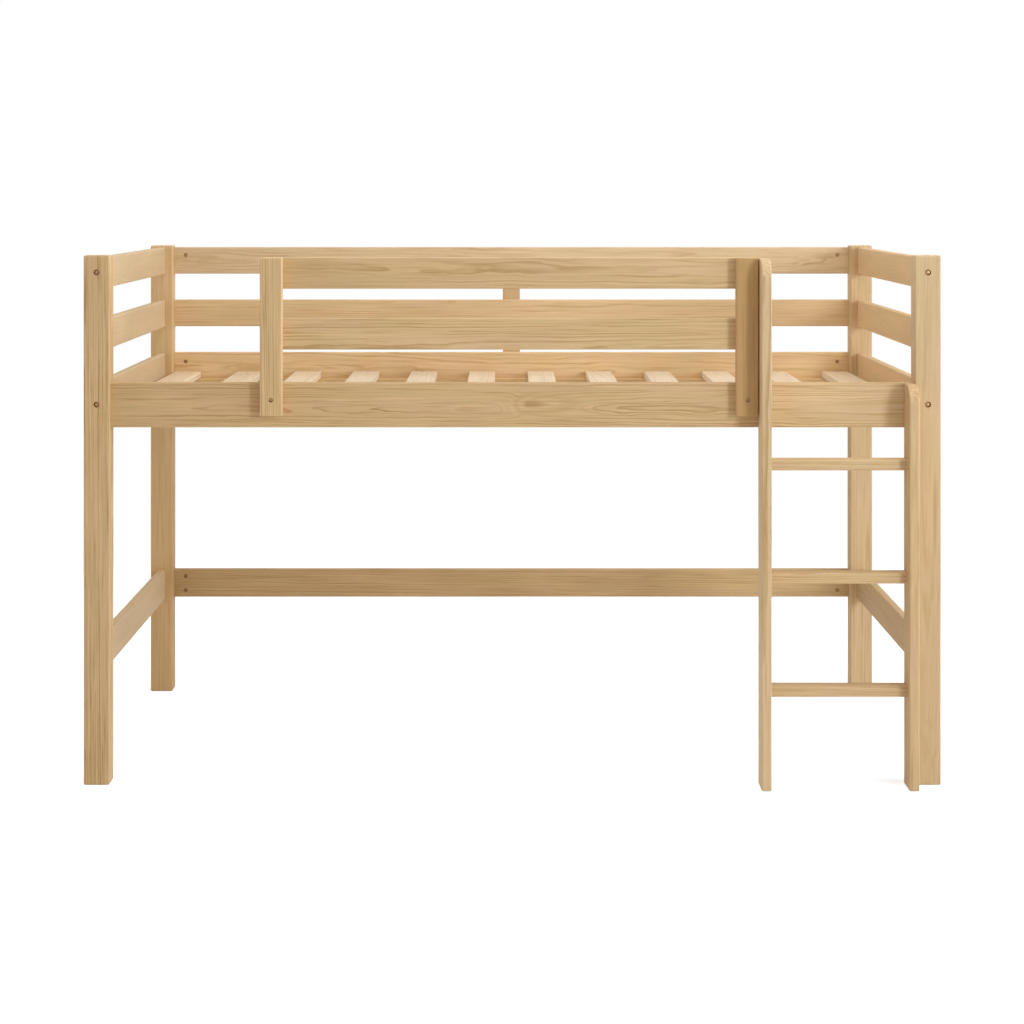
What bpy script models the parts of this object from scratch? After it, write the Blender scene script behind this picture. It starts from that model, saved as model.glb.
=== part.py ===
"""Low loft bed in clear-finished pine: four posts, a slatted deck, rails on three sides, a guard and a ladder.

Metres, +Z up. X runs along the bed and Y from the ladder side to the wall side. The origin lies on the
floor, in the middle of the bed's outline with its ladder.
"""

import math

import bmesh
import bpy
from mathutils import Quaternion, Vector

# The mattress sets the inside of the bed, and the frame is built round it.
MATTRESS_LENGTH = 1.905
MATTRESS_WIDTH = 0.990
MATTRESS_PLAY = 0.015

# Posts
POST_SIDE = 0.060
POST_HEIGHT = 1.235
POST_ROUND = 0.003

# Rails. All of them are cut from one thickness of board.
BOARD_THICKNESS = 0.020
BOARD_ROUND = 0.003
TOP_RAIL_DROP = 0.005
RAIL_HEIGHT = 0.074
RAIL_GAP = 0.0725
BED_RAIL_HEIGHT = 0.105
STRETCHER_HEIGHT = 0.0775
END_STRETCHER_HEIGHT = 0.082
STRETCHER_FLOOR_GAP = 0.2545
BATTEN_WIDTH = 0.048
BATTEN_THICKNESS = 0.015
BATTEN_END_INSET = 0.010

# Deck
SLAT_COUNT = 12
SLAT_WIDTH = 0.0725
SLAT_THICKNESS = 0.018
SLAT_ROUND = 0.0025
SLAT_END_PLAY = 0.003
SLAT_POST_PLAY = 0.0025
END_SLAT_EXTRA_GAP = 0.0113
DECK_DEPTH = 0.053
LEDGER_HEIGHT = 0.030
LEDGER_DEPTH = 0.025
LEDGER_END_GAP = 0.010
LEDGER_PEG_COUNT = 4

# Guard
GUARD_LENGTH = 1.162
GUARD_LADDER_GAP = 0.002
GUARD_RAIL_HEIGHT = 0.0735
GUARD_RAIL_GAP = 0.069
UPRIGHT_WIDTH = 0.052
UPRIGHT_THICKNESS = 0.028
UPRIGHT_FOOT_RISE = 0.028

# Ladder
LADDER_INNER_WIDTH = 0.318
STILE_THICKNESS = 0.023
STILE_DEPTH = 0.078
STILE_NOSE_RADIUS = 0.045
STILE_TOP_DROP = 0.002
SHORT_STILE_DROP = 0.001
RUNG_NAMES = ("lower", "middle", "upper")
RUNG_DEPTH = 0.045
RUNG_THICKNESS = 0.025
RUNG_PITCH = 0.263
FIRST_RUNG_TOP = 0.2355

# Dowel pegs, glued into one piece and let into a bore of the other
PEG_DIAMETER = 0.010
PEG_REACH = 0.020
PEG_GRIP = 0.015
PEG_EDGE_DISTANCE = 0.015
PEG_PLAY = 0.0003
SHORT_PEG_DIAMETER = 0.008
SHORT_PEG_REACH = 0.008
SHORT_PEG_GRIP = 0.008
RUNG_PEG_SPACING = 0.013
RUNG_PEG_RECESS = 0.0005

# Connector bolts with barrel nuts
SHANK_DIAMETER = 0.006
HEAD_DIAMETER = 0.010
HEAD_HEIGHT = 0.0035
HEAD_CHAMFER = 0.001
HEAD_RECESS = 0.005
POST_BORE_DIAMETER = 0.014
SOCKET_ACROSS_CORNERS = 0.0055
SOCKET_DEPTH = 0.0022
BOLT_PLAY = 0.0004
BOLT_PAST_NUT = 0.003
NUT_DIAMETER = 0.010
NUT_LENGTH = 0.014
NUT_FROM_RAIL_END = 0.031
END_BOLT_RISE = 0.0025
TOP_BOLT_DROP = 0.022
BED_BOLT_DROP = 0.026
STRETCHER_BOLT_INSET = 0.0195
GUARD_BOLT_DROP = 0.0385
GUARD_BOLT_BITE = 0.015
LADDER_BOLT_DROP = 0.036
LADDER_BOLT_BITE = 0.040

# Clearance that keeps touching pieces apart, and how far a cutter runs past what it cuts
JOINT_GAP = 0.0003
CUT_OVERRUN = 0.002

ROUND_SEGMENTS = 2
NOSE_SEGMENTS = 8
PEG_SIDES = 8
BOLT_SIDES = 12
SOCKET_SIDES = 6
MERGE_DISTANCE = 0.00005

# Each dowel and bolt is turned by this much more than the last, since none of them comes to rest at a set angle.
TURN_STEP = math.radians(11.3)
SOCKET_TURN = math.radians(15)

# Colours are linear red, green, blue.
PINE_PALE = (0.66, 0.45, 0.24)
PINE_WARM = (0.62, 0.38, 0.18)
SLAT_PALE = (0.76, 0.58, 0.35)
BRONZED_STEEL = (0.16, 0.10, 0.055)
WOOD_ROUGHNESS = 0.45
STEEL_ROUGHNESS = 0.35

X_AXIS = Vector((1, 0, 0))
Y_AXIS = Vector((0, 1, 0))
Z_AXIS = Vector((0, 0, 1))

# Places along the bed, from the middle outwards. End rails run through the middle of the posts' width.
INNER_LENGTH = MATTRESS_LENGTH + MATTRESS_PLAY
BED_LENGTH = INNER_LENGTH + POST_SIDE + BOARD_THICKNESS
POST_X = BED_LENGTH / 2 - POST_SIDE / 2
POST_INNER_X = BED_LENGTH / 2 - POST_SIDE

# Places across the bed. The front bed rail runs through the middle of the posts' depth, the rear rails are
# flush with the posts' back, and the ladder stands on the bed rail's face.
FRONT_RAIL_SETBACK = (POST_SIDE - BOARD_THICKNESS) / 2
FRAME_DEPTH = MATTRESS_WIDTH + MATTRESS_PLAY + FRONT_RAIL_SETBACK + 2 * BOARD_THICKNESS
LADDER_REACH = STILE_DEPTH + JOINT_GAP - FRONT_RAIL_SETBACK
OVERALL_DEPTH = LADDER_REACH + FRAME_DEPTH + JOINT_GAP + BATTEN_THICKNESS
POST_FRONT_Y = LADDER_REACH - OVERALL_DEPTH / 2
POST_BACK_Y = POST_FRONT_Y + FRAME_DEPTH
FRONT_RAIL_Y = POST_FRONT_Y + FRONT_RAIL_SETBACK
FRONT_RAIL_BACK_Y = FRONT_RAIL_Y + BOARD_THICKNESS
REAR_RAIL_Y = POST_BACK_Y - BOARD_THICKNESS

# Levels
TOP_RAIL_TOP = POST_HEIGHT - TOP_RAIL_DROP
MIDDLE_RAIL_TOP = TOP_RAIL_TOP - RAIL_HEIGHT - RAIL_GAP
BED_RAIL_TOP = MIDDLE_RAIL_TOP - RAIL_HEIGHT - RAIL_GAP
BED_RAIL_BOTTOM = BED_RAIL_TOP - BED_RAIL_HEIGHT
STRETCHER_TOP = STRETCHER_FLOOR_GAP + STRETCHER_HEIGHT
GUARD_LOWER_TOP = TOP_RAIL_TOP - GUARD_RAIL_HEIGHT - GUARD_RAIL_GAP
SLAT_TOP = BED_RAIL_TOP - DECK_DEPTH
LEDGER_TOP = SLAT_TOP - SLAT_THICKNESS - JOINT_GAP

# Ladder and guard, built leftwards from the right post
RIGHT_STILE_X = POST_INNER_X - JOINT_GAP - STILE_THICKNESS / 2
LEFT_STILE_X = RIGHT_STILE_X - LADDER_INNER_WIDTH - STILE_THICKNESS
STILE_BACK_Y = FRONT_RAIL_Y - JOINT_GAP
GUARD_RIGHT_X = LEFT_STILE_X - STILE_THICKNESS / 2 - GUARD_LADDER_GAP
GUARD_LEFT_X = GUARD_RIGHT_X - GUARD_LENGTH

# Bore for a bolt head. In the front posts it is wider.
HEAD_BORE_DIAMETER = HEAD_DIAMETER + 2 * BOLT_PLAY

OBJECT_NAME = "low_loft_bed"


def clear_scene():
    for thing in list(bpy.data.objects):
        bpy.data.objects.remove(thing, do_unlink=True)
    for collection in list(bpy.data.collections):
        bpy.data.collections.remove(collection)


def new_collection(name):
    collection = bpy.data.collections.new(name)
    bpy.context.scene.collection.children.link(collection)
    return collection


def new_material(name, colour, roughness, metallic):
    material = bpy.data.materials.new(name)
    material.use_nodes = True
    material.diffuse_color = (*colour, 1)
    shader = material.node_tree.nodes["Principled BSDF"]
    shader.inputs["Base Color"].default_value = (*colour, 1)
    shader.inputs["Roughness"].default_value = roughness
    shader.inputs["Metallic"].default_value = metallic
    return material


def place(mesh, name, location, up=Z_AXIS, turn=0):
    """An object of the mesh at the location, with its own Z along the direction up, turned round it."""
    thing = bpy.data.objects.new(name, mesh)
    thing.location = location
    thing.rotation_euler = (up.to_track_quat("Z", "Y") @ Quaternion(Z_AXIS, turn)).to_euler()
    return thing


def next_turn():
    return TURN_STEP * len(cutters.objects)


def show(thing, material):
    thing.data.materials.append(material)
    parts.objects.link(thing)
    return thing


def hide(thing):
    """Makes a helper that only shapes other pieces."""
    thing.display_type = "WIRE"
    thing.hide_render = True
    cutters.objects.link(thing)
    return thing


def boolean(target, helper, operation):
    """Adds the helper to all that is joined to the target, or cut from it, in one go."""
    name = f"{operation.lower()}_{target.name}"
    group = bpy.data.collections.get(name)
    if group is None:
        group = bpy.data.collections.new(name)
        cutters.children.link(group)
        modifier = target.modifiers.new(name, "BOOLEAN")
        modifier.operation = operation
        modifier.solver = "EXACT"
        modifier.operand_type = "COLLECTION"
        modifier.collection = group
    group.objects.link(helper)


def round_edges(thing, width, segments, limit):
    bevel = thing.modifiers.new("Rounded edges", "BEVEL")
    bevel.width = width
    bevel.segments = segments
    bevel.limit_method = limit


def box(name, low, high, is_marked):
    """A box between two corners. The edges that is_marked picks, by direction and middle, carry a bevel weight."""
    mesh = bmesh.new()
    bmesh.ops.create_cube(mesh, size=1)
    bmesh.ops.scale(mesh, vec=high - low, verts=mesh.verts)
    weights = mesh.edges.layers.float.new("bevel_weight_edge")
    for edge in mesh.edges:
        start, end = (vert.co for vert in edge.verts)
        if is_marked((end - start).normalized(), (start + end) / 2):
            edge[weights] = 1
    data = bpy.data.meshes.new(name)
    mesh.to_mesh(data)
    mesh.free()
    return place(data, name, (low + high) / 2)


def board(name, low, high, grain, rounding, material):
    """A board whose long edges, along the grain, are rounded and whose ends are sawn square."""
    thing = box(name, low, high, lambda direction, _: abs(direction.dot(grain)) > 0.5)
    round_edges(thing, rounding, ROUND_SEGMENTS, "WEIGHT")
    return show(thing, material)


def eased_board(name, low, high, rounding, material):
    """A board rounded on every edge, for pieces whose ends show."""
    thing = box(name, low, high, lambda direction, middle: False)
    round_edges(thing, rounding, ROUND_SEGMENTS, "ANGLE")
    return show(thing, material)


def rod(name, start, end, diameter, sides, turn):
    """A hidden cylinder from start to end."""
    along = end - start
    mesh = bmesh.new()
    bmesh.ops.create_cone(
        mesh,
        cap_ends=True,
        segments=sides,
        radius1=diameter / 2,
        radius2=diameter / 2,
        depth=along.length,
    )
    data = bpy.data.meshes.new(name)
    mesh.to_mesh(data)
    mesh.free()
    return hide(place(data, name, (start + end) / 2, along, turn))


def turned(name, profile, location, up, turn):
    """A profile of (radius, height) points, listed from the top down, turned round its own Z."""
    data = bpy.data.meshes.new(name)
    points = [(radius, 0, height) for radius, height in profile]
    data.from_pydata(points, [(i, i + 1) for i in range(len(points) - 1)], [])
    thing = place(data, name, location, up, turn)
    screw = thing.modifiers.new("Turned", "SCREW")
    screw.steps = BOLT_SIDES
    screw.render_steps = BOLT_SIDES
    screw.use_merge_vertices = True
    screw.merge_threshold = MERGE_DISTANCE
    return thing


def peg_joint(holder, taker, point, outward, diameter=PEG_DIAMETER, reach=PEG_REACH, grip=PEG_GRIP):
    """A dowel glued into holder, which leaves it at point and sits in a bore of taker."""
    index = len(cutters.objects)
    turn = next_turn()
    peg = rod(f"peg_{index}", point - outward * grip, point + outward * reach, diameter, PEG_SIDES, turn)
    bore = rod(
        f"bore_{index}",
        point - outward * CUT_OVERRUN,
        point + outward * (reach + PEG_PLAY),
        diameter + 2 * PEG_PLAY,
        PEG_SIDES,
        turn,
    )
    boolean(holder, peg, "UNION")
    boolean(taker, bore, "DIFFERENCE")


def short_peg(holder, taker, point, outward):
    peg_joint(holder, taker, point, outward, SHORT_PEG_DIAMETER, SHORT_PEG_REACH, SHORT_PEG_GRIP)


def bolt(name, face_point, outward, grip_length, through, nut_side=None, bore_diameter=HEAD_BORE_DIAMETER):
    """A bolt sunk into the face at face_point, with the holes that it needs in the pieces it goes through.

    grip_length runs from the face to the bolt's end or, with a barrel nut, to the nut's axis. nut_side is
    the direction in which the nut was put in, and the last piece in through holds the nut.
    """
    seat = face_point - outward * (HEAD_RECESS + HEAD_HEIGHT)
    past_nut = NUT_DIAMETER / 2 + BOLT_PAST_NUT if nut_side else 0
    shank_length = grip_length + past_nut - HEAD_RECESS - HEAD_HEIGHT
    head_radius = HEAD_DIAMETER / 2
    bore_radius = bore_diameter / 2
    shank_radius = SHANK_DIAMETER / 2
    turn = next_turn()
    profile = (
        (0, HEAD_HEIGHT),
        (head_radius - HEAD_CHAMFER, HEAD_HEIGHT),
        (head_radius, HEAD_HEIGHT - HEAD_CHAMFER),
        (head_radius, 0),
        (shank_radius, 0),
        (shank_radius, -shank_length),
        (0, -shank_length),
    )
    body = show(turned(name, profile, seat, outward, turn), steel)
    hole_profile = (
        (0, HEAD_HEIGHT + HEAD_RECESS + CUT_OVERRUN),
        (bore_radius, HEAD_HEIGHT + HEAD_RECESS + CUT_OVERRUN),
        (bore_radius, -JOINT_GAP),
        (shank_radius + BOLT_PLAY, -JOINT_GAP),
        (shank_radius + BOLT_PLAY, -shank_length - BOLT_PLAY),
        (0, -shank_length - BOLT_PLAY),
    )
    hole = hide(turned(f"hole_{name}", hole_profile, seat, outward, turn))
    for piece in through:
        boolean(piece, hole, "DIFFERENCE")
    socket = rod(
        f"socket_{name}",
        seat + outward * (HEAD_HEIGHT - SOCKET_DEPTH),
        seat + outward * (HEAD_HEIGHT + CUT_OVERRUN),
        SOCKET_ACROSS_CORNERS,
        SOCKET_SIDES,
        turn + SOCKET_TURN,
    )
    boolean(body, socket, "DIFFERENCE")
    if nut_side:
        add_barrel_nut(name, body, through[-1], face_point - outward * grip_length, nut_side, turn)
    return body


def add_barrel_nut(name, body, rail, middle, side, turn):
    """The nut across the bolt, threaded on to it, in a pocket open at the rail's face on that side."""
    half = side * (NUT_LENGTH / 2)
    nut = rod(f"nut_{name}", middle - half, middle + half, NUT_DIAMETER, BOLT_SIDES, turn)
    boolean(body, nut, "UNION")
    pocket = rod(
        f"pocket_{name}",
        middle - half - side * JOINT_GAP,
        middle + side * (BOARD_THICKNESS / 2 + CUT_OVERRUN),
        NUT_DIAMETER + 2 * BOLT_PLAY,
        BOLT_SIDES,
        turn,
    )
    boolean(rail, pocket, "DIFFERENCE")


def make_posts():
    posts = {}
    half = POST_SIDE / 2
    for end, x in (("left", -POST_X), ("right", POST_X)):
        for side, y in (("front", POST_FRONT_Y + half), ("rear", POST_BACK_Y - half)):
            low = Vector((x - half, y - half, 0))
            high = Vector((x + half, y + half, POST_HEIGHT))
            posts[side, end] = eased_board(f"post_{side}_{end}", low, high, POST_ROUND, pine)
    return posts


def peg_heights(top, height):
    """The heights of the two dowels in the end of a rail."""
    return top - PEG_EDGE_DISTANCE, top - height + PEG_EDGE_DISTANCE


def make_end_rails(posts):
    """Four rails at each end of the bed. The top one and the deck one are bolted through the front post."""
    levels = (
        ("top_rail", TOP_RAIL_TOP, RAIL_HEIGHT, True),
        ("middle_rail", MIDDLE_RAIL_TOP, RAIL_HEIGHT, False),
        ("deck_rail", BED_RAIL_TOP, BED_RAIL_HEIGHT, True),
        ("stretcher", STRETCHER_FLOOR_GAP + END_STRETCHER_HEIGHT, END_STRETCHER_HEIGHT, False),
    )
    front = POST_FRONT_Y + POST_SIDE + JOINT_GAP
    rear = POST_BACK_Y - POST_SIDE - JOINT_GAP
    for end, outward in (("left", -X_AXIS), ("right", X_AXIS)):
        x = POST_X * outward.x
        for level, top, height, is_bolted in levels:
            low = Vector((x - BOARD_THICKNESS / 2, front, top - height))
            high = Vector((x + BOARD_THICKNESS / 2, rear, top))
            rail = board(f"end_{level}_{end}", low, high, Y_AXIS, BOARD_ROUND, pine)
            for z in peg_heights(top, height):
                peg_joint(rail, posts["front", end], Vector((x, front, z)), -Y_AXIS)
                peg_joint(rail, posts["rear", end], Vector((x, rear, z)), Y_AXIS)
            if is_bolted:
                bolt(
                    f"bolt_{level}_front_{end}",
                    Vector((x, POST_FRONT_Y, top - height / 2 + END_BOLT_RISE)),
                    -Y_AXIS,
                    front - POST_FRONT_Y + NUT_FROM_RAIL_END,
                    (posts["front", end], rail),
                    outward,
                    POST_BORE_DIAMETER,
                )


def long_rail(name, low_y, top, height, material):
    """A rail along the bed, between the posts."""
    reach = POST_INNER_X - JOINT_GAP
    low = Vector((-reach, low_y, top - height))
    high = Vector((reach, low_y + BOARD_THICKNESS, top))
    return board(name, low, high, X_AXIS, BOARD_ROUND, material)


def fix_long_rail(rail, name, posts, side, y, bolt_heights, dowel_heights, nut_side):
    """Bolts and dowels at both ends of a long rail, whose middle lies at y."""
    reach = POST_INNER_X - JOINT_GAP
    for end, outward in (("left", -X_AXIS), ("right", X_AXIS)):
        post = posts[side, end]
        for number, z in enumerate(bolt_heights, start=1):
            bolt(
                f"bolt_{name}_{end}" if len(bolt_heights) == 1 else f"bolt_{name}_{end}_{number}",
                Vector((BED_LENGTH / 2 * outward.x, y, z)),
                outward,
                BED_LENGTH / 2 - reach + NUT_FROM_RAIL_END,
                (post, rail),
                nut_side,
            )
        for z in dowel_heights:
            peg_joint(rail, post, Vector((reach * outward.x, y, z)), outward)


def make_rear_rails(posts):
    y = REAR_RAIL_Y + BOARD_THICKNESS / 2
    top_peg, low_peg = peg_heights(TOP_RAIL_TOP, RAIL_HEIGHT)
    top_rail = long_rail("rear_top_rail", REAR_RAIL_Y, TOP_RAIL_TOP, RAIL_HEIGHT, warm_pine)
    bolts = [TOP_RAIL_TOP - TOP_BOLT_DROP]
    fix_long_rail(top_rail, "rear_top", posts, "rear", y, bolts, [low_peg], -Y_AXIS)

    middle_rail = long_rail("rear_middle_rail", REAR_RAIL_Y, MIDDLE_RAIL_TOP, RAIL_HEIGHT, warm_pine)
    dowels = peg_heights(MIDDLE_RAIL_TOP, RAIL_HEIGHT)
    fix_long_rail(middle_rail, "rear_middle", posts, "rear", y, [], dowels, -Y_AXIS)

    bed_rail = long_rail("rear_bed_rail", REAR_RAIL_Y, BED_RAIL_TOP, BED_RAIL_HEIGHT, warm_pine)
    bolts = [BED_RAIL_TOP - BED_BOLT_DROP]
    dowels = [BED_RAIL_BOTTOM + BED_BOLT_DROP]
    fix_long_rail(bed_rail, "rear_bed", posts, "rear", y, bolts, dowels, -Y_AXIS)

    stretcher = long_rail("rear_stretcher", REAR_RAIL_Y, STRETCHER_TOP, STRETCHER_HEIGHT, warm_pine)
    bolts = [STRETCHER_TOP - STRETCHER_BOLT_INSET, STRETCHER_FLOOR_GAP + STRETCHER_BOLT_INSET]
    fix_long_rail(stretcher, "rear_stretcher", posts, "rear", y, bolts, [], -Y_AXIS)
    return top_rail, middle_rail, bed_rail


def make_rear_batten(rails):
    """The upright batten behind the rear rails, pegged to each of them."""
    front = POST_BACK_Y + JOINT_GAP
    low = Vector((-BATTEN_WIDTH / 2, front, BED_RAIL_BOTTOM + BATTEN_END_INSET))
    high = Vector((BATTEN_WIDTH / 2, front + BATTEN_THICKNESS, TOP_RAIL_TOP - BATTEN_END_INSET))
    batten = eased_board("rear_centre_batten", low, high, BOARD_ROUND, warm_pine)
    middles = (
        TOP_RAIL_TOP - RAIL_HEIGHT / 2,
        MIDDLE_RAIL_TOP - RAIL_HEIGHT / 2,
        BED_RAIL_TOP - BED_RAIL_HEIGHT / 2,
    )
    for rail, z in zip(rails, middles):
        short_peg(batten, rail, Vector((0, front, z)), -Y_AXIS)


def make_front_bed_rail(posts):
    rail = long_rail("front_bed_rail", FRONT_RAIL_Y, BED_RAIL_TOP, BED_RAIL_HEIGHT, pine)
    y = FRONT_RAIL_Y + BOARD_THICKNESS / 2
    bolts = [BED_RAIL_TOP - BED_BOLT_DROP]
    dowels = [BED_RAIL_BOTTOM + BED_BOLT_DROP]
    fix_long_rail(rail, "front_bed", posts, "front", y, bolts, dowels, Y_AXIS)
    return rail


def make_ledger(name, low_y, rail, towards_rail):
    """A ledger glued and pegged to the inner face of a bed rail."""
    reach = POST_INNER_X - LEDGER_END_GAP
    low = Vector((-reach, low_y, LEDGER_TOP - LEDGER_HEIGHT))
    high = Vector((reach, low_y + LEDGER_DEPTH, LEDGER_TOP))
    ledger = board(name, low, high, X_AXIS, BOARD_ROUND, warm_pine)
    face = high.y if towards_rail.y > 0 else low.y
    step = 2 * reach / LEDGER_PEG_COUNT
    for number in range(LEDGER_PEG_COUNT):
        x = -reach + step / 2 + step * number
        short_peg(ledger, rail, Vector((x, face, LEDGER_TOP - LEDGER_HEIGHT / 2)), towards_rail)


def slat_places():
    """Slats are even along the deck, but the outer two stand close to the posts, with a wider gap beside them."""
    outer = POST_INNER_X - SLAT_POST_PLAY - SLAT_WIDTH / 2
    pitch = 2 * (outer - END_SLAT_EXTRA_GAP) / (SLAT_COUNT - 1)
    inner = [-outer + END_SLAT_EXTRA_GAP + pitch * number for number in range(1, SLAT_COUNT - 1)]
    return [-outer, *inner, outer]


def make_deck(front_rail, rear_rail):
    make_ledger("slat_ledger_front", FRONT_RAIL_BACK_Y + JOINT_GAP, front_rail, -Y_AXIS)
    make_ledger("slat_ledger_rear", REAR_RAIL_Y - JOINT_GAP - LEDGER_DEPTH, rear_rail, Y_AXIS)
    front = FRONT_RAIL_BACK_Y + SLAT_END_PLAY
    rear = REAR_RAIL_Y - SLAT_END_PLAY
    for number, x in enumerate(slat_places(), start=1):
        low = Vector((x - SLAT_WIDTH / 2, front, SLAT_TOP - SLAT_THICKNESS))
        high = Vector((x + SLAT_WIDTH / 2, rear, SLAT_TOP))
        board(f"slat_{number:02d}", low, high, Y_AXIS, SLAT_ROUND, slat_pine)


def make_guard(bed_rail):
    """Two rails in the plane of the bed rail, behind two uprights that are bolted to its face."""
    rails = {}
    for name, top in (("guard_top_rail", TOP_RAIL_TOP), ("guard_lower_rail", GUARD_LOWER_TOP)):
        low = Vector((GUARD_LEFT_X, FRONT_RAIL_Y, top - GUARD_RAIL_HEIGHT))
        high = Vector((GUARD_RIGHT_X, FRONT_RAIL_BACK_Y, top))
        rails[top] = eased_board(name, low, high, BOARD_ROUND, pine)
    back = FRONT_RAIL_Y - JOINT_GAP
    front = back - UPRIGHT_THICKNESS
    middles = (
        ("left", GUARD_LEFT_X + UPRIGHT_WIDTH / 2),
        ("right", GUARD_RIGHT_X - UPRIGHT_WIDTH / 2),
    )
    for end, x in middles:
        low = Vector((x - UPRIGHT_WIDTH / 2, front, BED_RAIL_BOTTOM + UPRIGHT_FOOT_RISE))
        high = Vector((x + UPRIGHT_WIDTH / 2, back, TOP_RAIL_TOP))
        upright = eased_board(f"guard_upright_{end}", low, high, BOARD_ROUND, pine)
        for top, rail in rails.items():
            short_peg(upright, rail, Vector((x, back, top - GUARD_RAIL_HEIGHT / 2)), Y_AXIS)
        bolt(
            f"bolt_guard_{end}",
            Vector((x, front, BED_RAIL_TOP - GUARD_BOLT_DROP)),
            -Y_AXIS,
            UPRIGHT_THICKNESS + JOINT_GAP + GUARD_BOLT_BITE,
            (upright, bed_rail),
        )


def make_stile(name, x, top):
    """A ladder side on edge, with a round nose at its top front corner."""
    low = Vector((x - STILE_THICKNESS / 2, STILE_BACK_Y - STILE_DEPTH, 0))
    high = Vector((x + STILE_THICKNESS / 2, STILE_BACK_Y, top))

    def is_nose(direction, middle):
        return abs(direction.x) > 0.5 and middle.y < 0 < middle.z

    stile = box(name, low, high, is_nose)
    round_edges(stile, STILE_NOSE_RADIUS, NOSE_SEGMENTS, "WEIGHT")
    round_edges(stile, BOARD_ROUND, ROUND_SEGMENTS, "ANGLE")
    return show(stile, pine)


def make_ladder(bed_rail):
    stiles = {
        "left": make_stile("ladder_stile_left", LEFT_STILE_X, TOP_RAIL_TOP - STILE_TOP_DROP),
        "right": make_stile("ladder_stile_right", RIGHT_STILE_X, BED_RAIL_TOP - SHORT_STILE_DROP),
    }
    for end, x in (("left", LEFT_STILE_X), ("right", RIGHT_STILE_X)):
        bolt(
            f"bolt_ladder_{end}",
            Vector((x, FRONT_RAIL_BACK_Y, BED_RAIL_TOP - LADDER_BOLT_DROP)),
            Y_AXIS,
            BOARD_THICKNESS + JOINT_GAP + LADDER_BOLT_BITE,
            (bed_rail, stiles[end]),
        )
    left = LEFT_STILE_X + STILE_THICKNESS / 2 + JOINT_GAP
    right = RIGHT_STILE_X - STILE_THICKNESS / 2 - JOINT_GAP
    through = STILE_THICKNESS + JOINT_GAP - RUNG_PEG_RECESS
    for number, name in enumerate(RUNG_NAMES):
        top = FIRST_RUNG_TOP + RUNG_PITCH * number
        low = Vector((left, STILE_BACK_Y - RUNG_DEPTH, top - RUNG_THICKNESS))
        high = Vector((right, STILE_BACK_Y, top))
        rung = board(f"ladder_rung_{name}", low, high, X_AXIS, BOARD_ROUND, pine)
        middle = (low + high) / 2
        for end, x, outward in (("left", left, -X_AXIS), ("right", right, X_AXIS)):
            through_point = Vector((x, middle.y, middle.z))
            peg_joint(rung, stiles[end], through_point, outward, SHORT_PEG_DIAMETER, through)
            short_peg(rung, stiles[end], through_point + Y_AXIS * RUNG_PEG_SPACING, outward)


clear_scene()
parts = new_collection(OBJECT_NAME)
cutters = new_collection("cutters")
pine = new_material("pine_pale", PINE_PALE, WOOD_ROUGHNESS, 0)
warm_pine = new_material("pine_warm", PINE_WARM, WOOD_ROUGHNESS, 0)
slat_pine = new_material("pine_slat", SLAT_PALE, WOOD_ROUGHNESS, 0)
steel = new_material("bronzed_steel", BRONZED_STEEL, STEEL_ROUGHNESS, 1)

all_posts = make_posts()
make_end_rails(all_posts)
rear_top, rear_middle, rear_bed = make_rear_rails(all_posts)
make_rear_batten((rear_top, rear_middle, rear_bed))
front_bed = make_front_bed_rail(all_posts)
make_deck(front_bed, rear_bed)
make_guard(front_bed)
make_ladder(front_bed)
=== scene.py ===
"""Looks of a low loft bed in clear-finished pine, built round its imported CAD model.

Metres, +Z up. X runs along the bed towards the ladder end, and Y from the ladder side to the wall side.
"""

import math
import random
from collections import namedtuple

import bmesh
import bpy
from bpy.props import FloatProperty, FloatVectorProperty, PointerProperty
from mathutils import Matrix, Vector


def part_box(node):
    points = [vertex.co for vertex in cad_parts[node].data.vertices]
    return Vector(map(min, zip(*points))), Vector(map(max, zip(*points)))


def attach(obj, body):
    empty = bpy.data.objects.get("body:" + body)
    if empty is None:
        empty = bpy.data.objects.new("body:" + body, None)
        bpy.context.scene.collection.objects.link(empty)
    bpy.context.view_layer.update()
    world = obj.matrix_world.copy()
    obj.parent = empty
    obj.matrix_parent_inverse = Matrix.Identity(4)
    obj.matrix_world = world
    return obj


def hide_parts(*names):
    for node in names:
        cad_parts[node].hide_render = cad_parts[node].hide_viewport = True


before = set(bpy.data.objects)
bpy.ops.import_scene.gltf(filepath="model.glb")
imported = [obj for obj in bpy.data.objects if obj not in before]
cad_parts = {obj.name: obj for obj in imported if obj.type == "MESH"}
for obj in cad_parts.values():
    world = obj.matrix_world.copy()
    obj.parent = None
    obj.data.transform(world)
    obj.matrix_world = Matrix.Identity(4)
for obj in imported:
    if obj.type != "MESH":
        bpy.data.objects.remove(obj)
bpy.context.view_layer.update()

bl_info = {
    "name": "Low Loft Bed",
    "version": (1, 0, 0),
    "blender": (4, 5, 0),
    "location": "View3D > Sidebar > Loft Bed",
    "description": "Builds a low pine loft bed with its guard, ladder and connector hardware",
    "category": "Object",
}

BODY = "root"

X_AXIS = Vector((1, 0, 0))
Y_AXIS = Vector((0, 1, 0))
ENDS = (("left", -X_AXIS), ("right", X_AXIS))

# What the CAD solids carry beyond the boards themselves: dowels at their ends or faces. A rung's dowels start a
# joint gap from the ladder's sides and end just short of their outer faces.
PEG_REACH = 0.020
SHORT_PEG_REACH = 0.008
STILE_THICKNESS = 0.023
JOINT_GAP = 0.0003
RUNG_PEG_RECESS = 0.0005
RUNG_PEG_REACH = STILE_THICKNESS + JOINT_GAP - RUNG_PEG_RECESS
RUNG_PEG_RADIUS = 0.004
RUNG_DEPTH = 0.045

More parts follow.
